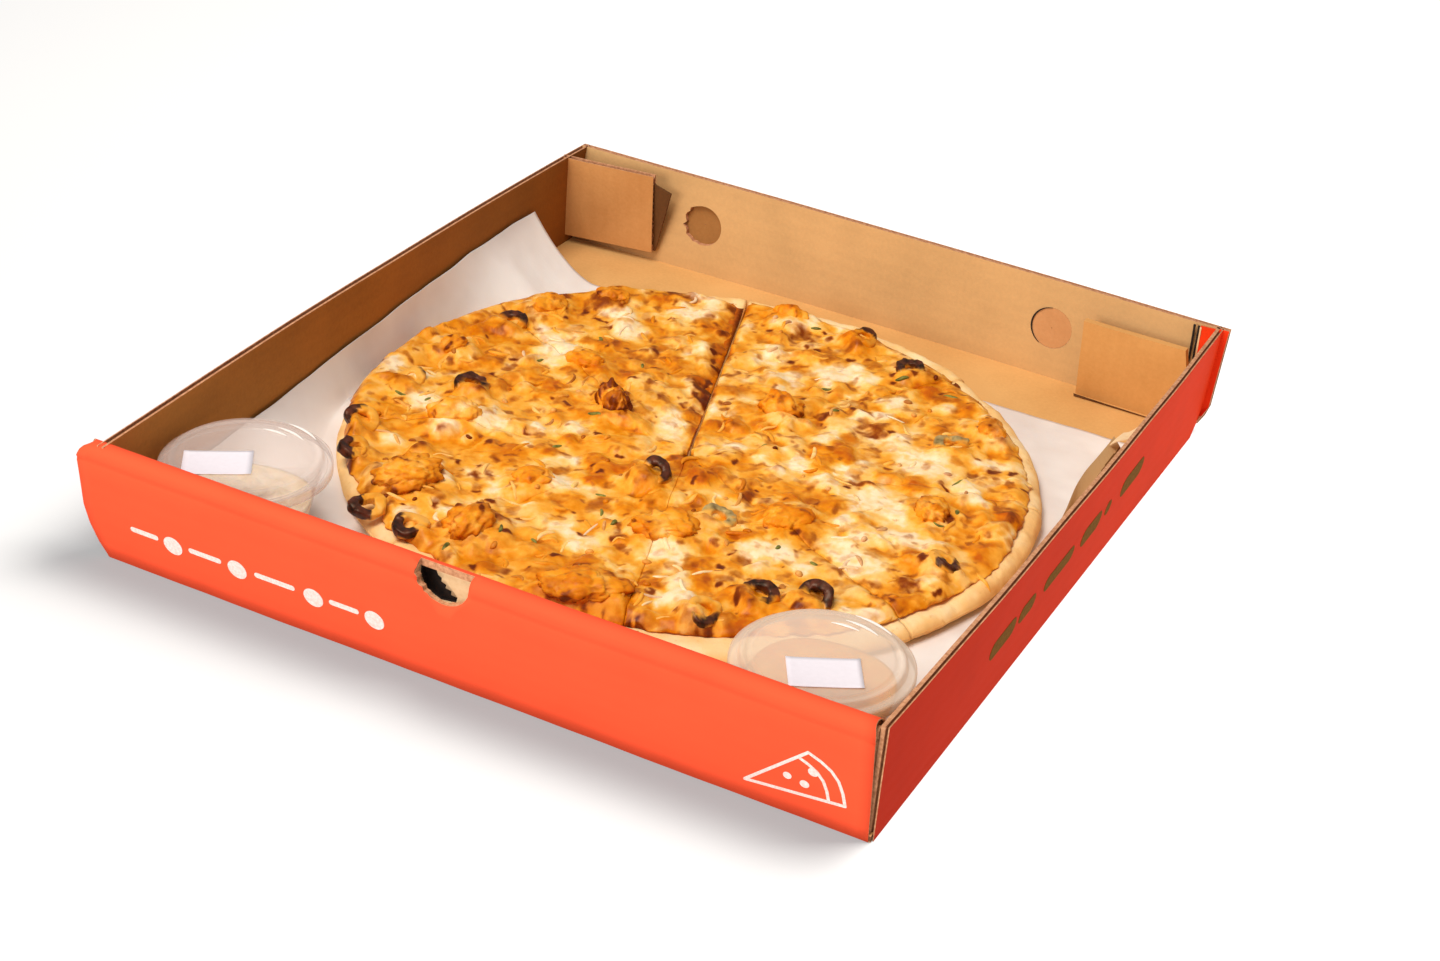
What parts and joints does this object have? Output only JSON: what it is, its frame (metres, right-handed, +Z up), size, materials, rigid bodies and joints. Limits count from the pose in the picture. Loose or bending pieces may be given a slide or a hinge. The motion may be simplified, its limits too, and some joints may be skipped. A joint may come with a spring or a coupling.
{
  "type": "takeaway pizza in an open box tray",
  "caption": "Sliced takeaway pizza with chicken and black olives on greaseproof paper in the open tray of its corrugated box, with lidded pots of dip in the front corners.",
  "frame": {"origin": "under the middle of the tray, on the surface that it stands on", "axes": "+Z up, +Y from the front wall with the thumb notch towards the back wall with the vents, +X to the right"},
  "size_m": [0.336, 0.3648, 0.0501],
  "materials": {
    "cardboard": "corrugated kraft board, printed coral red outside",
    "greaseproof_paper": "thin, slightly crumpled and glossy with grease",
    "crust": "baked bread, pale with brown blisters",
    "topping": "melted cheese and sauce, browned in spots, slightly greasy",
    "black_olive": "wet, dark",
    "chicken": "roast, fibrous, orange spice",
    "clear_cup": "thin clear polypropylene",
    "clear_lid": "thin clear plastic, glossy and slightly misted",
    "creamy_dip": "thick cream",
    "peach_dip": "thick, smooth",
    "paper_label": "bare matt sticker"
  },
  "bodies": {
    "root": {"tray": "cardboard", "liner_paper": "greaseproof_paper", "slice_1_crust": "crust", "slice_1_topping": "topping", "slice_2_crust": "crust", "slice_2_topping": "topping", "slice_3_crust": "crust", "slice_3_topping": "topping", "slice_4_crust": "crust", "slice_4_topping": "topping", "slice_5_crust": "crust", "slice_5_topping": "topping", "slice_6_crust": "crust", "slice_6_topping": "topping", "slice_7_crust": "crust", "slice_7_topping": "topping", "slice_8_crust": "crust", "slice_8_topping": "topping", "olive_01": "black_olive", "olive_02": "black_olive", "olive_03": "black_olive", "olive_04": "black_olive", "olive_05": "black_olive", "olive_06": "black_olive", "olive_07": "black_olive", "olive_08": "black_olive", "olive_09": "black_olive", "olive_10": "black_olive", "olive_11": "black_olive", "olive_12": "black_olive", "olive_13": "black_olive", "olive_14": "black_olive", "olive_15": "black_olive", "olive_16": "black_olive", "chicken_01": "chicken", "chicken_02": "chicken", "chicken_03": "chicken", "chicken_04": "chicken", "chicken_05": "chicken", "chicken_06": "chicken", "chicken_07": "chicken", "chicken_08": "chicken", "chicken_09": "chicken", "chicken_10": "chicken", "chicken_11": "chicken", "chicken_12": "chicken", "chicken_13": "chicken", "chicken_14": "chicken", "chicken_15": "chicken", "chicken_16": "chicken", "pot_left_cup": "clear_cup", "pot_left_dip": "creamy_dip", "pot_left_lid": "clear_lid", "pot_left_label": "paper_label", "pot_right_cup": "clear_cup", "pot_right_dip": "peach_dip", "pot_right_lid": "clear_lid", "pot_right_label": "paper_label"}
  },
  "joints": []
}
